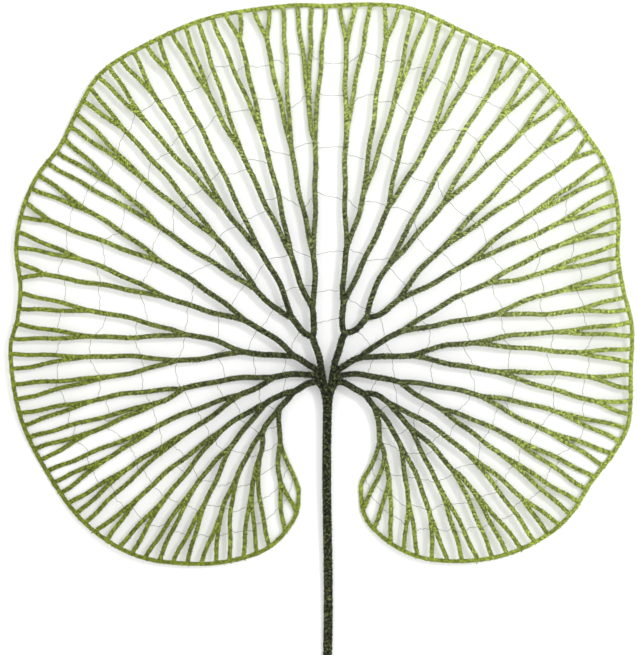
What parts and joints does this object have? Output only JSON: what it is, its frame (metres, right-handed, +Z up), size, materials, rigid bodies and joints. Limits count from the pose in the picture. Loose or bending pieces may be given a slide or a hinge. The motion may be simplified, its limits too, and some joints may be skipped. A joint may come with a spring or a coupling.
{
  "type": "openwork stitched water lily pad",
  "caption": "Openwork water lily pad made of stitched thread cords: forking veins from a stemmed hub to a wavy rim, lying flat as an ornament.",
  "frame": {"origin": "middle of the footprint, at the height of the surface that the leaf lies on", "axes": "+Y from the cut end of the stem towards the top of the leaf, +Z up out of the leaf's upper side, +X to the right seen from above"},
  "size_m": [0.3992, 0.4462, 0.0086],
  "materials": {
    "stem_thread": "matt thread, very dark green",
    "vein_thread": "matt thread, dark green at the hub to yellow green at the rim",
    "rim_thread": "matt thread, yellow green"
  },
  "bodies": {
    "root": {"stem": "stem_thread", "rim": "rim_thread", "vein_lobe_left": "vein_thread", "vein_side_left": "vein_thread", "vein_upper_left": "vein_thread", "vein_top_left": "vein_thread", "vein_top_right": "vein_thread", "vein_upper_right": "vein_thread", "vein_side_right": "vein_thread", "vein_lobe_right": "vein_thread"}
  },
  "joints": []
}
